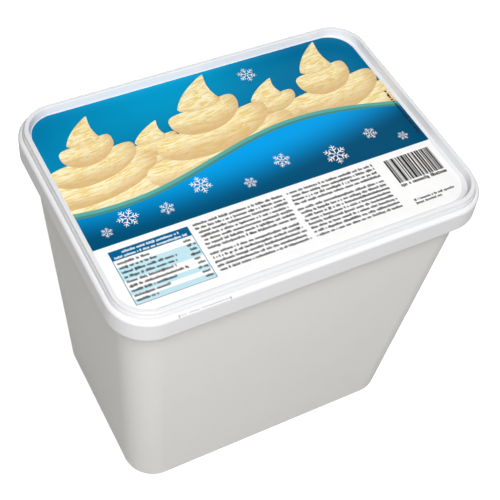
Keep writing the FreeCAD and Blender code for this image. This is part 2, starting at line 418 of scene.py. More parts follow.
def add_slab(mesh, points, low, high, uv_layer=None, uvs=None):
    """Adds a flat slab over a closed outline, anticlockwise, to a mesh in the making."""
    bottom = [mesh.verts.new((point[0], point[1], low)) for point in points]
    top = [mesh.verts.new((point[0], point[1], high)) for point in points]
    faces = [mesh.faces.new(top), mesh.faces.new(list(reversed(bottom)))]
    count = len(points)
    for i in range(count):
        j = (i + 1) % count
        faces.append(mesh.faces.new((bottom[i], bottom[j], top[j], top[i])))
    if uvs:
        lookup = {}
        for vert, uv in zip(bottom + top, list(uvs) * 2):
            lookup[vert] = uv
        for face in faces:
            for loop in face.loops:
                loop[uv_layer].uv = lookup[loop.vert]


def add_box(mesh, left, right, front, back, low, high):
    add_slab(mesh, [(left, front), (right, front), (right, back), (left, back)], low, high)


def made(mesh, name):
    data = bpy.data.meshes.new(name)
    mesh.to_mesh(data)
    mesh.free()
    return data


def clipped(points, fence, touching=1e-6):
    """The part of a closed outline inside a convex fence, both anticlockwise.

    Each point may carry more numbers. Points closer than touching become one.
    """
    kept = [tuple(point) for point in points]
    for i, start in enumerate(fence):
        end = fence[(i + 1) % len(fence)]
        edge = (end[0] - start[0], end[1] - start[1])

        def side(point):
            return edge[0] * (point[1] - start[1]) - edge[1] * (point[0] - start[0])

        result = []
        for j, point in enumerate(kept):
            previous = kept[j - 1]
            here, there = side(point), side(previous)
            if (here >= 0) != (there >= 0):
                ratio = there / (there - here)
                result.append(tuple(a + (b - a) * ratio for a, b in zip(previous, point)))
            if here >= 0:
                result.append(point)
        kept = result
    tidy = []
    for point in kept:
        if not tidy or math.dist(point[:2], tidy[-1][:2]) > touching:
            tidy.append(point)
    if math.dist(tidy[0][:2], tidy[-1][:2]) <= touching:
        tidy.pop()
    return tidy


def cut(piece, cutter):
    """Takes the cutter away from a piece and leaves a plain mesh."""
    modifier = piece.modifiers.new("cut", "BOOLEAN")
    modifier.object = cutter
    modifier.operation = "DIFFERENCE"
    modifier.solver = "MANIFOLD"
    settle(piece, modifier)
    bpy.data.objects.remove(cutter)


def settle(piece, modifier):
    """Turns a piece's modifier into a plain mesh."""
    depsgraph = bpy.context.evaluated_depsgraph_get()
    plain = bpy.data.meshes.new_from_object(piece.evaluated_get(depsgraph), depsgraph=depsgraph)
    piece.modifiers.remove(modifier)
    piece.data = plain


# Repeated print, grown by Geometry Nodes.


class Grower:
    """A tree of geometry nodes with named inputs: sizes, counts with the seed, and the material."""

    def __init__(self, name, sizes, counts):
        self.tree = bpy.data.node_groups.new(name, "GeometryNodeTree")
        inputs = [(label, "Float") for label in sizes.split(", ")]
        inputs += [(label, "Int") for label in counts.split(", ")]
        for label, kind in inputs + [("Material", "Material")]:
            self.tree.interface.new_socket(name=label, in_out="INPUT", socket_type=f"NodeSocket{kind}")
        self.tree.interface.new_socket(name="Geometry", in_out="OUTPUT", socket_type="NodeSocketGeometry")
        self.graph = Graph(self.tree)
        self.entry = self.tree.nodes.new("NodeGroupInput")

    def given(self, label):
        return Wire(self.graph, self.entry.outputs[label])

    def end(self, geometry):
        """Realises the instances, sets the material and closes the tree."""
        solid = self.graph.node("GeometryNodeRealizeInstances", {}, {"Geometry": geometry})
        sockets = {"Geometry": solid, "Material": self.given("Material")}
        painted = self.graph.node("GeometryNodeSetMaterial", {}, sockets)
        self.graph.node("NodeGroupOutput", {}, {"Geometry": painted})

    def random(self, low, high, offset):
        settings = {"data_type": "FLOAT"}
        sockets = {2: low, 3: high, "Seed": self.given("Seed") + offset}
        return self.graph.node("FunctionNodeRandomValue", settings, sockets, 1)

    def running_start(self, advance):
        """Sum of the advances of all points before each one."""
        settings = {"data_type": "FLOAT", "domain": "POINT"}
        return self.graph.node("GeometryNodeAccumulateField", settings, {"Value": advance}, "Trailing")

    def boxes(self, points, keep, place, scale):
        """A box at each kept point."""
        graph = self.graph
        placed = graph.node("GeometryNodeSetPosition", {}, {"Geometry": points, "Position": place})
        cube = graph.node("GeometryNodeMeshCube", {}, {"Size": (1.0, 1.0, 1.0)})
        sockets = {"Points": placed, "Selection": keep, "Instance": cube, "Scale": scale}
        self.end(graph.node("GeometryNodeInstanceOnPoints", {}, sockets))


def small_print_tree():
    """Rows of small upright marks in word-like groups that fill a column, line after line.

    Some marks end a word, some are taller, and a few reach below the line.
    """
    sizes = "Left, Top, Level, Column Width, Line Pitch, Shortest, Longest, Gap, Word Gap, Height, Thickness"
    grower = Grower("small_print", sizes, "Line Count, Mark Count, Seed")
    graph, given = grower.graph, grower.given
    word_end_share = 0.17
    tall_from, deep_from = 0.72, 0.93
    tall_growth, deep_growth = 0.38, 0.3
    points = graph.node("GeometryNodePoints", {}, {"Count": given("Mark Count")})
    width = grower.random(given("Shortest"), given("Longest"), 0)
    word_ends = grower.random(0.0, 1.0, 1) < word_end_share
    start = grower.running_start(width + given("Gap") + word_ends * given("Word Gap"))
    line = (start / given("Column Width")).floor()
    across = start - line * given("Column Width")
    fits = (across + width) < given("Column Width")
    counted = line < (given("Line Count") - 0.5)
    tall = grower.random(0.0, 1.0, 2) > tall_from
    deep = grower.random(0.0, 1.0, 3) > deep_from
    height = given("Height") * (1 + tall_growth * tall + deep_growth * deep)
    lift = given("Height") * (tall_growth / 2 * tall - deep_growth / 2 * deep)
    x = given("Left") + across + 0.5 * width
    y = given("Top") - line * given("Line Pitch") + lift
    scale = graph.vector(width, height, given("Thickness"))
    grower.boxes(points, fits * counted, graph.vector(x, y, given("Level")), scale)
    return grower.tree


def bars_tree():
    """A row of upright bars one to four modules wide, with gaps one or two short modules wide."""
    grower = Grower("bars", "Left, Middle, Level, Width, Module, Height, Thickness", "Bar Count, Seed")
    graph, given = grower.graph, grower.given
    widest_bar, widest_gap, gap_module = 4.4, 2.7, 0.8
    points = graph.node("GeometryNodePoints", {}, {"Count": given("Bar Count")})
    width = given("Module") * grower.random(1.0, widest_bar, 0).floor()
    gap = given("Module") * gap_module * grower.random(1.0, widest_gap, 1).floor()
    start = grower.running_start(width + gap)
    fits = (start + width) < given("Width")
    place = graph.vector(given("Left") + start + 0.5 * width, given("Middle"), given("Level"))
    grower.boxes(points, fits, place, graph.vector(width, given("Height"), given("Thickness")))
    return grower.tree


def grown(tree, values):
    """The plain mesh that a tree grows with the given named inputs."""
    piece = add_object("grown", bpy.data.meshes.new("grown"))
    modifier = piece.modifiers.new("grow", "NODES")
    modifier.node_group = tree
    for item in tree.interface.items_tree:
        if item.in_out == "INPUT" and item.name in values:
            modifier[item.identifier] = values[item.name]
    settle(piece, modifier)
    mesh = piece.data
    bpy.data.objects.remove(piece)
    if not mesh.polygons:
        raise RuntimeError(f"{tree.name} grew nothing")
    return mesh


# Finishes.

FILM_ROUGHNESS = 0.34
FILM_UNEVENNESS = 0.08
FILM_GLOSS = 0.05
FILM_DARKEST = 0.93


def shaded(base, share):
    """A colour with a share of its light."""
    return [channel * share for channel in base]


def plastic(name, base, rough, grain, waviness, gloss=0.5):
    """Moulded plastic: faint clouding, an uneven sheen, a fine grain and slow waves in the wall."""
    cloud_share, speck_share, darkest, unevenness = 0.45, 0.2, 0.955, 0.12

    def paint(graph, place):
        cloud = graph.noise(place, scale=38.0, detail=3.0, roughness=0.6)
        speck = graph.noise(place, scale=900.0, detail=2.0, roughness=0.6)
        amount = (cloud_share * cloud + speck_share * speck).clamped()
        return graph.mix(amount, base, shaded(base, darkest))

    def roughness(graph, place):
        return rough + unevenness * (graph.noise(place, scale=60.0, detail=4.0, roughness=0.6) - 0.5)

    def bump(graph, place):
        fine = graph.noise(place, scale=1400.0) * grain
        return fine + graph.noise(place, scale=16.0, detail=1.0, roughness=0.4) * waviness

    return finish(name, paint, roughness, bump, gloss)


def printed(name, paint, rough=FILM_ROUGHNESS):
    """A finish of the film or its print, with a slightly uneven sheen."""

    def roughness(graph, place):
        return rough + FILM_UNEVENNESS * (graph.noise(place, scale=120.0) - 0.5)

    return finish(name, paint, roughness, gloss=FILM_GLOSS)


def even(name, base, rough=FILM_ROUGHNESS):
    """Ink or film of one colour with a faint unevenness of tone."""

    def paint(graph, place):
        return graph.mix(graph.noise(place, scale=120.0), base, shaded(base, FILM_DARKEST))

    return printed(name, paint, rough)


def glow_spot(graph, place, middle, reach, fades):
    """1 near a middle, fading to 0 over an oval with the given reaches, between two parts of them."""
    x, y = graph.parts(place)[:2]
    across = (x - middle[0]) / reach[0]
    along = (y - middle[1]) / reach[1]
    return 1 - graph.step((across * across + along * along) ** 0.5, *fades)


def ground_ink(colours):
    """Blue ground with a soft glow at its back, a fainter one on the left, and darker corners."""

    def paint(graph, place):
        glow = glow_spot(graph, place, middle=(-0.022, 0.072), reach=(0.075, 0.046), fades=(0.1, 1.25))
        second = glow_spot(graph, place, middle=(-0.1, 0.03), reach=(0.05, 0.05), fades=(0.0, 1.3))
        cloud = graph.noise(place, scale=14.0)
        amount = (0.9 * glow + 0.45 * second + 0.35 * (cloud - 0.5) + 0.1).clamped()
        return graph.mix(amount, colours.blue_dark, colours.blue_bright)

    return printed("picture_ground", paint)


def wave_ink(colours, low, high):
    """Bright blue that darkens towards its foot and away from its brightest place on the left."""
    brightest, breadth = -0.045, 0.15

    def paint(graph, place):
        x, y = graph.parts(place)[:2]
        rise = (y - low) / (high - low)
        away = (x - brightest) / breadth
        glow = graph.step(rise - 0.5 * away * away, 0.02, 0.78)
        return graph.mix(glow, colours.wave_dark, colours.wave_bright)

    return printed("wave_field", paint)


def swirl_ink(colours):
    """Cream: bright on the upper left of each coil, tan below, with fine creases that run along it."""

    def paint(graph, place):
        u, v = graph.parts(graph.node("ShaderNodeUVMap", {"uv_map": "coil"}))[:2]
        x, y = graph.parts(place)[:2]
        along = x * 22.0 + u * 0.6
        crease_place = graph.vector(along, v * 2.6 + y * 60.0)
        crease = graph.noise(crease_place, scale=2.4, detail=5.0, roughness=0.6, distortion=0.9)
        fine_place = graph.vector(along * 3.0, v * 7.0 + y * 160.0)
        fine = graph.noise(fine_place, scale=3.0, detail=4.0, roughness=0.65)
        ridge = graph.step(crease + 0.35 * (fine - 0.5), 0.38, 0.6)
        cream = graph.mix(ridge, colours.crease, colours.cream)
        edge = (v - 0.3 * u * u + 0.1 * u).most(-1.0)
        falling = graph.step(edge, -1.0, -0.05)
        far_side = 1 - graph.step(u, 0.5, 1.15)
        return graph.mix((falling * far_side * 0.85 + 0.15).clamped(), colours.shade, cream)

    return printed("swirl_cream", paint)


# Operators: one for each piece or group of like pieces.


class TubPart:
    """What the operators share."""

    bl_options = {"REGISTER", "UNDO"}

    @staticmethod
    def settings(context):
        return context.scene.ice_cream_tub


def lid_ring(settings, inset):
    half_x = LID_HIGH.x - inset
    half_y = LID_HIGH.y - inset
    return outline(half_x, half_y, settings.lid.corner - inset)


class TUB_OT_body(TubPart, bpy.types.Operator):
    """Builds the tub: rounded foot, leaning walls and the flange under the lid"""

    bl_idname = "ice_cream_tub.body"
    bl_label = "Tub"

    def execute(self, context):
        settings = self.settings(context)
        sizes, lid = settings.tub, settings.lid
        skirt_edge = LID_LOW.z
        smallest_corner = 0.004
        wall_steps = 12
        seat = LID_HIGH.z - lid.recess_drop - lid.wall
        rise = skirt_edge + sizes.flange_drop
        profile = rounded_profile(
            [
                (sizes.lean + 3 * sizes.foot_round, 0.0, 0.0),
                (sizes.lean, 0.0, sizes.foot_round),
                (sizes.lean * (1 - rise / skirt_edge), rise, 0.0),
            ],
            steps=10,
            guard=0.0006,
        )
        half_x = LID_HIGH.x - sizes.overhang
        half_y = LID_HIGH.y - sizes.overhang
        rings = []
        for point in profile:
            beyond = point.x - sizes.lean * (1 - point.y / skirt_edge)
            corner = max(sizes.corner - beyond, smallest_corner)
            rings.append((outline(half_x - point.x, half_y - point.x, corner), point.y))
        wall = rings.pop()
        foot_top = rings[-1]
        for i in range(1, wall_steps + 1):
            part = i / wall_steps
            ring = [a.lerp(b, part) for a, b in zip(foot_top[0], wall[0])]
            rings.append((ring, foot_top[1] + (wall[1] - foot_top[1]) * part))
        flange = lid_ring(settings, lid.wall + sizes.flange_gap)
        rings += [(flange, rise), (flange, seat)]
        piece = add_object("tub_body", lofted("tub_body", rings))
        base = settings.finishes.tub
        material = plastic("tub_plastic", base, rough=0.46, grain=0.000006, waviness=0.00025)
        finish_piece(piece, material, "tub", "tub")
        return {"FINISHED"}


class TUB_OT_lid(TubPart, bpy.types.Operator):
    """Builds the lid: skirt, rounded ledge, grooved rim, sunk panel and the tear tab's cuts"""

    bl_idname = "ice_cream_tub.lid"
    bl_label = "Lid"

    # Start and end of each slit along the shoulder, in millimetres on the tab's usual length.
    SLITS = ((0.0, 4.0), (5.9, 11.5), (12.4, 29.1))
    # Breadth of a cut on the shoulder against its breadth on the skirt, and its drop against the slits'.
    FLARE = 1.4
    DROP = 1.1
    # Small roundings in metres: the skirt's inner edge, the lower step's foot and top, the upper step's foot.
    INNER_EDGE, STEP_FOOT, STEP_TOP, RIM_FOOT = 0.0003, 0.0004, 0.0006, 0.0003
    # The groove's upper and lower roundings in metres, and the share of its width that its floor keeps.
    GROOVE_TOP, GROOVE_FOOT, GROOVE_FLOOR = 0.00012, 0.00008, 0.6
    # How far the panel's own surface runs in before it is capped, in metres.
    PANEL_RUN = 0.002

    def execute(self, context):
        settings = self.settings(context)
        sizes = settings.lid
        top = LID_HIGH.z
        edge = LID_LOW.z
        ledge = top - sizes.ledge_drop
        panel = top - sizes.recess_drop
        outer = sizes.rim_inset
        inner = outer + sizes.rim_breadth
        middle = (outer + inner) / 2
        half = sizes.groove / 2
        floor_half = self.GROOVE_FLOOR * half
        dip = top - sizes.groove_depth
        profile = rounded_profile(
            [
                (sizes.wall, panel - sizes.wall, 0.0),
                (sizes.wall, edge, self.INNER_EDGE),
                (0.0, edge, sizes.edge_round),
                (0.0, ledge, sizes.ledge_round),
                (sizes.step_inset, ledge, self.STEP_FOOT),
                (sizes.step_inset + sizes.rim_lean, ledge + sizes.step_rise, self.STEP_TOP),
                (outer, ledge + sizes.step_rise, self.RIM_FOOT),
                (outer + sizes.rim_lean, top, sizes.rim_shoulder),
                (middle - half, top, self.GROOVE_TOP),
                (middle - floor_half, dip, self.GROOVE_FOOT),
                (middle + floor_half, dip, self.GROOVE_FOOT),
                (middle + half, top, self.GROOVE_TOP),
                (inner, top, sizes.rim_round),
                (inner + sizes.recess_draft, panel, sizes.recess_round),
                (inner + sizes.recess_draft + self.PANEL_RUN, panel, 0.0),
            ],
            guard=0.00005,
        )
        rings = [(lid_ring(settings, point.x), point.y) for point in profile]
        piece = add_object("lid_shell", lofted("lid_shell", rings))
        cut(piece, self.tab_cutter(settings, edge, ledge))
        piece.data.name = "lid_shell"
        base = settings.finishes.lid
        material = plastic("lid_plastic", base, rough=0.36, grain=0.000004, waviness=0.00008, gloss=0.22)
        finish_piece(piece, material, "lid", "lid")
        return {"FINISHED"}

    def tab_cutter(self, settings, edge, ledge):
        """Cuts of the tear tab: two down the skirt, and a broken slit along the shoulder between them."""
        sizes = settings.lid
        clear = 0.001
        front = LID_LOW.y
        left = -sizes.tab_left
        right = left + sizes.tab_length
        half = sizes.tab_cut / 2
        wide = self.FLARE * half
        brow = ledge - self.DROP * sizes.tab_depth
        above = ledge + clear
        score = front + sizes.tab_score
        mesh = bmesh.new()
        for place in (left, right):
            add_box(mesh, place - half, place + half, front - clear, score, edge - clear, brow)
            add_box(mesh, place - wide, place + wide, front - clear, front + sizes.wall, brow, above)
        inner = front + sizes.wall - sizes.tab_slit
        usual = self.SLITS[-1][1]
        for start, stop in self.SLITS:
            begin = left + start / usual * sizes.tab_length + (wide if start == 0.0 else 0.0)
            end = left + stop / usual * sizes.tab_length - (wide if stop == usual else 0.0)
            add_box(mesh, begin, end, inner - sizes.tab_slit, inner, ledge - sizes.tab_depth, above)
        return add_object("tab_cutter", made(mesh, "tab_cutter"))


def film_fence(settings):
    """Outline of the film."""
    half = (FILM_HIGH - FILM_LOW) / 2
    middle = (FILM_HIGH + FILM_LOW) / 2
    return outline(half.x, half.y, settings.print_sizes.corner, (middle.x, middle.y))


def picture_fence(settings):
    """Outline of the picture field: the film behind the picture's front edge."""
    front = settings.print_sizes.picture_front
    window = [(-1.0, front), (1.0, front), (1.0, 1.0), (-1.0, 1.0)]
    return clipped(film_fence(settings), window)


# Ink layers over the film, from the bottom up. The swirls take one for each coil or tip.
FIRST_SWIRL = 2
WAVE_OUTER, WAVE_INNER, WAVE_FIELD, FLAKES_LAYER = 30, 31, 32, 33
UPRIGHT_LAYER = 34


def ink_level(settings, layer):
    """Top of an ink layer over the film."""
    return FILM_HIGH.z + layer * settings.print_sizes.layer


class TUB_OT_film(TubPart, bpy.types.Operator):
    """Gives the film its white gloss and lays the blue picture field on it"""

    bl_idname = "ice_cream_tub.film"
    bl_label = "Film and picture field"

    def execute(self, context):
        settings = self.settings(context)
        colours = settings.finishes
        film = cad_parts["label"]
        film.data.materials.clear()
        film.data.materials.append(even("film_white", colours.film))
        mesh = bmesh.new()
        add_slab(mesh, picture_fence(settings), FILM_HIGH.z, ink_level(settings, 1))
        lay_print("picture_field", mesh, ground_ink(colours))
        return {"FINISHED"}


class TUB_OT_swirls(TubPart, bpy.types.Operator):
    """Prints the piped swirls: stacked coils that narrow to a curled tip"""

    bl_idname = "ice_cream_tub.swirls"
    bl_label = "Swirls"

    # Middle, foot, breadth, height and lean of each swirl, the lengths in metres.
    SWIRLS = [
        (-0.046, 0.002, 0.084, 0.042, 0.03),
        (0.034, 0.004, 0.090, 0.046, -0.04),
        (-0.083, 0.000, 0.086, 0.060, 0.05),
        (0.076, -0.006, 0.096, 0.072, -0.06),
        (-0.010, -0.008, 0.120, 0.073, 0.04),
    ]
    COILS, COIL_POINTS, TIP_POINTS, TIP_FOOT_POINTS = 4, 40, 26, 9
    # Powers that shape the narrowing from coil to coil, each coil's full outline, and the tip's sides.
    NARROWING, FULLNESS, TIP_SIDES = 0.7, 0.75, 0.8
    # Against the swirl's height: the lowest coil's half thickness and place, and the run of the others.
    THICKNESS, LOWEST, RUN = 0.19, 0.12, 0.78
    # Share by which the coils thin towards the top, and each coil's sag and tilt.
    THINNING, SAG, TILT = 0.35, 0.5, 0.14
    # Half the tip's breadth against the swirl's, and the share of the swirl's lean that it takes.
    TIP_HALF, TIP_LEAN = 0.115, 0.9
    # The tip's place and rise against the swirl's height.
    TIP_PLACE, TIP_RISE = 0.8, 0.3
    # The tip's curl and the roundness of its foot, against half its breadth, and its shade at the foot.
    TIP_CURL, TIP_FOOT, TIP_SHADE = 0.9, 0.35, 0.6

    def execute(self, context):
        settings = self.settings(context)
        fence = picture_fence(settings)
        mesh = bmesh.new()
        uv_layer = mesh.loops.layers.uv.new("coil")
        layer = FIRST_SWIRL
        for swirl in self.SWIRLS:
            for coil in self.coils(*swirl):
                shape = clipped(coil, fence)
                if len(shape) > 2:
                    uvs = [point[2:4] for point in shape]
                    low, high = ink_level(settings, layer - 1), ink_level(settings, layer)
                    add_slab(mesh, [point[:2] for point in shape], low, high, uv_layer, uvs)
                    layer += 1
        lay_print("swirl_print", mesh, swirl_ink(settings.finishes))
        return {"FINISHED"}

    def coils(self, middle, foot, breadth, height, lean):
        """Outlines of a swirl's coils and tip, from its foot up.

        Each point also has its place along and across its coil, from -1 to 1.
        """
        shapes = []
        for index in range(self.COILS):
            part = index / self.COILS
            half = breadth / 2 * (1 - part) ** self.NARROWING
            thick = height * self.THICKNESS * (1 - self.THINNING * part)
            centre_x = middle + lean * height * part
            centre_y = foot + height * (self.LOWEST + self.RUN * part)
            coil = []
            for i in range(self.COIL_POINTS):
                turn = 2 * math.pi * i / self.COIL_POINTS
                across = math.copysign(abs(math.cos(turn)) ** self.FULLNESS, math.cos(turn))
                up = math.copysign(abs(math.sin(turn)) ** self.FULLNESS, math.sin(turn))
                sag = -self.SAG * thick * (1 - across * across)
                tilt = self.TILT * across * half
                coil.append((centre_x + half * across, centre_y + thick * up + sag + tilt, across, up))
            shapes.append(coil)
        base = (middle + lean * height * self.TIP_LEAN, foot + height * self.TIP_PLACE)
        shapes.append(self.tip(*base, breadth * self.TIP_HALF, height * self.TIP_RISE))
        return shapes

    def tip(self, base_x, base_y, half, rise):
        """Outline of the curled tip: up its right side, down its left side and round its foot."""
        parts = [i / self.TIP_POINTS for i in range(self.TIP_POINTS + 1)]
        sides = [(part, 1) for part in parts] + [(part, -1) for part in parts[-2::-1]]
        points = []
        for part, side in sides:
            bend = half * self.TIP_CURL * part * part
            x = base_x + side * half * (1 - part) ** self.TIP_SIDES + bend
            points.append((x, base_y + rise * part, side * (1 - part), part))
        for i in range(1, self.TIP_FOOT_POINTS):
            turn = math.pi * i / self.TIP_FOOT_POINTS
            left, down = -math.cos(turn), -math.sin(turn)
            x = base_x + half * left
            points.append((x, base_y + half * self.TIP_FOOT * down, left, self.TIP_SHADE * down))
        return points


class TUB_OT_wave(TubPart, bpy.types.Operator):
    """Prints the blue wave along the foot of the picture, with its two-tone band"""

    bl_idname = "ice_cream_tub.wave"
    bl_label = "Wave"

    STEPS = 120
    # Shift of the wave to the left in metres, and its turn in radians for each metre.
    SHIFT, TURN = 0.02, 26.0
    # Breadth and light of the band's inner tone against the outer, and the roughness of both.
    INNER_BREADTH, INNER_LIGHT, BAND_ROUGHNESS = 0.42, 0.62, 0.26

    def execute(self, context):
        settings = self.settings(context)
        sizes = settings.print_sizes
        colours = settings.finishes
        fence = picture_fence(settings)
        front = sizes.picture_front
        crest = front + sizes.wave_level + sizes.wave_rise

        def field(rise):
            """The wave's field, its edge moved back by a rise."""
            margin = 0.01
            left, right = FILM_LOW.x - margin, FILM_HIGH.x + margin
            shape = [(left, front - margin), (right, front - margin)]
            for i in range(self.STEPS + 1):
                x = right + (left - right) * i / self.STEPS
                bend = math.sin((x + self.SHIFT) * self.TURN)
                shape.append((x, front + sizes.wave_level + sizes.wave_rise * bend + rise))
            return clipped(shape, fence)

        light = even("teal_light", colours.teal, self.BAND_ROUGHNESS)
        dark = even("teal_dark", shaded(colours.teal, self.INNER_LIGHT), self.BAND_ROUGHNESS)
        fields = [
            ("wave_band_outer", sizes.wave_edge, light, WAVE_OUTER),
            ("wave_band_inner", sizes.wave_edge * self.INNER_BREADTH, dark, WAVE_INNER),
            ("wave_field", 0.0, wave_ink(colours, front, crest), WAVE_FIELD),
        ]
        for name, rise, material, layer in fields:
            mesh = bmesh.new()
            add_slab(mesh, field(rise), ink_level(settings, layer - 1), ink_level(settings, layer))
            lay_print(name, mesh, material)
        return {"FINISHED"}


class TUB_OT_flakes(TubPart, bpy.types.Operator):
    """Prints six-armed flakes on the wave and the ground"""

    bl_idname = "ice_cream_tub.flakes"
    bl_label = "Flakes"

    # Middle and reach of each flake in metres.
    FLAKES = [
        (-0.080, -0.0130, 0.0065),
        (-0.058, -0.015, 0.0045),
        (-0.034, -0.007, 0.0065),
        (-0.008, -0.016, 0.0040),
        (0.016, -0.008, 0.0055),
        (0.047, -0.016, 0.0075),
        (0.074, -0.009, 0.0045),
        (0.091, -0.018, 0.0035),
        (-0.094, -0.018, 0.0035),
        (0.030, 0.062, 0.0060),
    ]
    ARMS = 6
    # Each flake's turn against the one before it, and the branches' against their arm, in degrees.
    FLAKE_TURN, BRANCH_TURN = 17, 55
    # Half a stroke's breadth and the arm's start, against the arm's reach.
    STROKE, START = 0.045, 0.1
    # How far from the arm's middle line a branch starts, in half strokes.
    LEAVES = 1.2
    # Place and length of each pair of branches, against the arm's reach.
    BRANCHES = ((0.42, 0.3), (0.68, 0.22))

    def execute(self, context):
        settings = self.settings(context)
        low, high = ink_level(settings, WAVE_FIELD), ink_level(settings, FLAKES_LAYER)
        mesh = bmesh.new()
        for index, (x, y, reach) in enumerate(self.FLAKES):
            for arm in range(self.ARMS):
                turn = math.radians(360 // self.ARMS * arm + self.FLAKE_TURN * index)
                self.arm(mesh, Vector((x, y)), turn, reach, low, high)
        lay_print("flakes", mesh, even("flake_white", settings.finishes.film))
        return {"FINISHED"}

    def arm(self, mesh, middle, turn, reach, low, high):
        """One arm with its pairs of side branches."""
        along = Vector((math.cos(turn), math.sin(turn)))
        half = reach * self.STROKE

        def stroke(start, direction, size):
            side = Vector((-direction.y, direction.x)) * half
            end = start + direction * size
            shape = [start - side, end - 0.5 * side, end + 0.5 * side, start + side]
            add_slab(mesh, shape, low, high)

        stroke(middle + along * reach * self.START, along, reach * (1 - self.START))
        for place, size in self.BRANCHES:
            for bend in (self.BRANCH_TURN, -self.BRANCH_TURN):
                branch = Matrix.Rotation(math.radians(bend), 2) @ along
                start = middle + along * reach * place + branch * half * self.LEAVES
                stroke(start, branch, reach * size)


class TUB_OT_table(TubPart, bpy.types.Operator):
    """Prints the small table: heading, tinted rows and a fine border"""

    bl_idname = "ice_cream_tub.table"
    bl_label = "Table"

    LEFT, RIGHT, FRONT, BACK = -0.099, -0.0535, -0.0666, -0.0304
    HEADING = 0.0064
    LINE = 0.00035
    # Front and back edge of each tinted row.
    TINTED = ((-0.0509, -0.0415), (-0.0603, -0.0572), (-0.0664, -0.0634))

    def execute(self, context):
        settings = self.settings(context)
        colours = settings.finishes
        low, high = FILM_HIGH.z, ink_level(settings, 1)
        left, right = self.LEFT + self.LINE, self.RIGHT - self.LINE
        rows = bmesh.new()
        for front, back in self.TINTED:
            add_box(rows, left, right, front, back, low, high)
        lay_print("table_rows", rows, even("table_tint", colours.tint))
        heading = bmesh.new()
        foot = self.BACK - self.HEADING
        bottom = self.FRONT - self.LINE
        add_box(heading, self.LEFT, self.RIGHT, foot, self.BACK, low, high)
        add_box(heading, self.LEFT, left, bottom, foot, low, high)
        add_box(heading, right, self.RIGHT, bottom, foot, low, high)
        add_box(heading, left, right, bottom, self.FRONT, low, high)
        lay_print("table_heading", heading, even("table_heading", colours.heading))
        return {"FINISHED"}


class TUB_OT_small_print(TubPart, bpy.types.Operator):
    """Prints the columns of small marks and the row of bars"""

    bl_idname = "ice_cream_tub.small_print"
    bl_label = "Small print"

    # Left, top and width in metres, lines and size of each block on the white strip.
    BLOCKS = [
        (-0.0506, -0.0312, 0.0548, 7, 1.0),
        (-0.0506, -0.0524, 0.0548, 5, 1.0),
        (0.0066, -0.0312, 0.0555, 4, 1.0),
        (0.0066, -0.0438, 0.0555, 8, 1.0),
        (0.0700, -0.0632, 0.0270, 1, 0.9),
        (0.0700, -0.0656, 0.0180, 1, 0.9),
        (0.0692, -0.0510, 0.0310, 1, 1.4),
    ]
    HEADING_BLOCKS = [(-0.0920, -0.0327, 0.0330, 1, 0.9), (-0.0972, -0.0354, 0.0420, 1, 0.9)]
    # Lengths of the table's lines in metres, from the back, and the first line's place and their pitch.
    TABLE_LINES = (0.018, 0.022, 0.031, 0.030, 0.028, 0.034, 0.026, 0.020, 0.012)
    TABLE_TOP = -0.0393
    TABLE_PITCH = 0.00313
    TABLE_LEFT = -0.0974
    # Left and width of the table's column of figures, and the step by which they vary from line to line.
    FIGURES = (-0.0600, 0.0056, 0.0006)
    # Middle, foot and length of the upright line of marks beside the picture, and the size of its marks.
    UPRIGHT = (0.1012, -0.0205, 0.0390, 0.85)
    # Left, middle and width of the row of bars, and the most bars it can hold.
    BARS = (0.0694, -0.0400, 0.0306, 40)
    # Ink of the heading's print.
    PALE = (0.72, 0.85, 0.92)
    # Extra gap between two words in metres, and the seed's step from block to block.
    WORD_GAP, SEED_STEP = 0.0009, 11

    def execute(self, context):
        settings = self.settings(context)
        sizes = settings.print_sizes
        colours = settings.finishes
        tree = small_print_tree()
        ink = even("print_ink", colours.ink)
        pale = even("print_pale", self.PALE)
        low = ink_level(settings, 1)
        blocks = list(self.BLOCKS)
        left, breadth, change = self.FIGURES
        for index, width in enumerate(self.TABLE_LINES):
            top = self.TABLE_TOP - index * self.TABLE_PITCH
            shift = change * (index % 3)
            blocks.append((self.TABLE_LEFT, top, width, 1, 1.0))
            blocks.append((left + shift, top, breadth - shift, 1, 1.0))
        self.blocks(settings, tree, "small_print", blocks, low, ink)
        self.blocks(settings, tree, "heading_print", self.HEADING_BLOCKS, low, pale)
        middle, foot, reach, size = self.UPRIGHT
        high = ink_level(settings, UPRIGHT_LAYER)
        line = [(0.0, 0.0, reach, 1, size)]
        upright = self.blocks(settings, tree, "upright_print", line, high, ink)
        quarter_turn = Matrix.Rotation(math.pi / 2, 4, "Z")
        upright.data.transform(Matrix.Translation((middle, foot, 0.0)) @ quarter_turn)
        left, middle, width, count = self.BARS
        values = {
            "Left": left,
            "Middle": middle,
            "Level": FILM_HIGH.z + sizes.layer / 2,
            "Width": width,
            "Bar Count": count,
            "Module": sizes.bar_module,
            "Height": sizes.bar_height,
            "Thickness": sizes.layer,
            "Seed": sizes.seed,
            "Material": ink,
        }
        bars = add_object("bars", grown(bars_tree(), values))
        finish_piece(bars, ink, "label")
        return {"FINISHED"}

    def blocks(self, settings, tree, name, blocks, low, material):
        """Grows each block of marks and joins them into one piece."""
        sizes = settings.print_sizes
        joined = bmesh.new()
        for index, (left, top, width, lines, size) in enumerate(blocks):
            step = size * (sizes.letter_short + sizes.letter_gap)
            values = {
                "Left": left,
                "Top": top,
                "Level": low + sizes.layer / 2,
                "Column Width": width,
                "Line Count": lines,
                "Line Pitch": sizes.line_pitch,
                "Mark Count": int(lines * width / step) + 1,
                "Shortest": size * sizes.letter_short,
                "Longest": size * sizes.letter_long,
                "Gap": size * sizes.letter_gap,
                "Word Gap": size * self.WORD_GAP,
                "Height": size * sizes.letter_height,
                "Thickness": sizes.layer,
                "Seed": sizes.seed + self.SEED_STEP * index,
                "Material": material,
            }
            joined.from_mesh(grown(tree, values))
        return lay_print(name, joined, material)


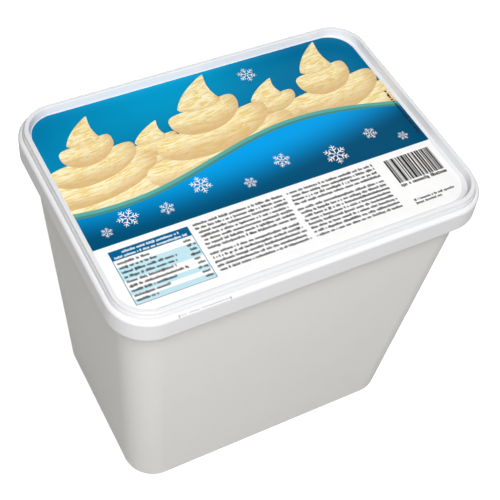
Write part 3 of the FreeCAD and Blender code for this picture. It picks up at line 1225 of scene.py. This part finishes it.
class TUB_OT_stage(TubPart, bpy.types.Operator):
    """Sets up the floor, the lamps, the even light and the camera"""

    bl_idname = "ice_cream_tub.stage"
    bl_label = "Stage"

    # Name, place, breadth and tint of each lamp, the lengths in metres.
    LAMPS = (
        ("key", (-0.20, -0.62, 1.29), 0.5, (1.0, 1.0, 1.0)),
        ("low", (-0.86, -1.15, 0.50), 0.5, (1.0, 1.0, 1.0)),
        ("fill", (0.95, 1.10, 0.34), 0.7, (1.0, 0.99, 0.97)),
    )
    LAMP_AIM = (0.0, 0.0, 0.12)
    SKY_TINT = (1.0, 0.94, 0.84, 1.0)
    FLOOR_REACH = 4.0
    # Light that the floor gives of its own where it shows, and its colour where it lights the tub.
    FLOOR_GLOW = 0.55
    FLOOR_QUIET = (0.17, 0.15, 0.12, 1.0)
    # Share of the white floor that reflections show.
    FLOOR_IN_GLOSS = 0.62

    def execute(self, context):
        stage = self.settings(context).stage
        scene = context.scene
        scene.view_settings.view_transform = "Standard"
        self.floor()
        for name, place, breadth, tint in self.LAMPS:
            self.lamp(name, getattr(stage, name), Vector(place), breadth, tint)
        world = bpy.data.worlds.new("even_light")
        world.use_nodes = True
        background = world.node_tree.nodes["Background"]
        background.inputs["Color"].default_value = self.SKY_TINT
        background.inputs["Strength"].default_value = stage.sky
        scene.world = world
        self.camera(scene, stage)
        return {"FINISHED"}

    def floor(self):
        """A white floor that throws little light back up."""
        mesh = bmesh.new()
        bmesh.ops.create_grid(mesh, x_segments=8, y_segments=8, size=self.FLOOR_REACH)
        floor = add_object("floor", made(mesh, "floor"))
        material = bpy.data.materials.new("floor_white")
        material.use_nodes = True
        tree = material.node_tree
        tree.nodes.clear()
        graph = Graph(tree)
        rays = graph.node("ShaderNodeLightPath").socket.node.outputs
        reflected = self.FLOOR_IN_GLOSS * Wire(graph, rays["Is Glossy Ray"])
        seen = Wire(graph, rays["Is Camera Ray"]).most(reflected)
        seen = seen.most(Wire(graph, rays["Is Transmission Ray"]))
        place = graph.node("ShaderNodeTexCoord", {}, {}, "Object")
        tone = graph.mix(graph.noise(place, scale=3.0), (0.95, 0.95, 0.95), (0.93, 0.93, 0.93))
        white = graph.node("ShaderNodeBsdfDiffuse", {}, {"Color": tone})
        glow = {"Color": (1.0, 1.0, 1.0, 1.0), "Strength": self.FLOOR_GLOW}
        lit = graph.node("ShaderNodeEmission", {}, glow)
        shown = graph.node("ShaderNodeAddShader", {}, {0: white, 1: lit})
        quiet = graph.node("ShaderNodeBsdfDiffuse", {}, {"Color": self.FLOOR_QUIET})
        surface = graph.node("ShaderNodeMixShader", {}, {0: seen, 1: quiet, 2: shown})
        graph.node("ShaderNodeOutputMaterial", {}, {"Surface": surface})
        floor.data.materials.append(material)

    def lamp(self, name, strength, place, size, tint):
        """A square soft lamp that faces the tub."""
        light = bpy.data.lights.new(name, "AREA")
        light.size = size
        light.color = tint
        aim = Vector(self.LAMP_AIM)
        light.energy = strength * math.pi**2 * (place - aim).length_squared
        lamp = bpy.data.objects.new(name, light)
        lamp.location = place
        lamp.rotation_euler = (place - aim).to_track_quat("Z", "Y").to_euler()
        bpy.context.scene.collection.objects.link(lamp)

    @staticmethod
    def camera(scene, stage):
        """The camera at its azimuth, elevation and roll, aimed at its point."""
        turn, rise, roll = stage.azimuth, stage.elevation, stage.roll
        back = Vector((math.sin(turn) * math.cos(rise), -math.cos(turn) * math.cos(rise), math.sin(rise)))
        level = Vector((0.0, 0.0, 1.0)).cross(back).normalized()
        upward = back.cross(level)
        right = math.cos(roll) * level + math.sin(roll) * upward
        top = math.cos(roll) * upward - math.sin(roll) * level
        data = bpy.data.cameras.new("camera")
        data.sensor_width = 36.0
        data.lens = stage.lens
        data.clip_start = 0.05
        data.clip_end = 20.0
        camera = bpy.data.objects.new("camera", data)
        pose = Matrix((right, top, back)).transposed().to_4x4()
        pose.translation = Vector(stage.aim) + stage.distance * back
        camera.matrix_world = pose
        scene.collection.objects.link(camera)
        scene.camera = camera


OPERATORS = (
    TUB_OT_body,
    TUB_OT_lid,
    TUB_OT_film,
    TUB_OT_swirls,
    TUB_OT_wave,
    TUB_OT_flakes,
    TUB_OT_table,
    TUB_OT_small_print,
    TUB_OT_stage,
)


class TUB_PT_panel(bpy.types.Panel):
    """Lists the pieces in the sidebar"""

    bl_idname = "TUB_PT_panel"
    bl_label = "Ice cream tub"
    bl_space_type = "VIEW_3D"
    bl_region_type = "UI"
    bl_category = "Ice cream tub"

    def draw(self, context):
        for operator in OPERATORS:
            self.layout.operator(operator.bl_idname)


GROUPS = (TubSizes, LidSizes, PrintSizes, Finishes, StageSettings, TubSettings)


def register():
    for item in GROUPS + OPERATORS + (TUB_PT_panel,):
        bpy.utils.register_class(item)
    bpy.types.Scene.ice_cream_tub = PointerProperty(type=TubSettings)


def unregister():
    del bpy.types.Scene.ice_cream_tub
    for item in reversed(GROUPS + OPERATORS + (TUB_PT_panel,)):
        bpy.utils.unregister_class(item)


def main():
    register()
    for operator in OPERATORS:
        group, name = operator.bl_idname.split(".")
        getattr(getattr(bpy.ops, group), name)()
    bpy.context.view_layer.update()


if __name__ == "__main__":
    main()
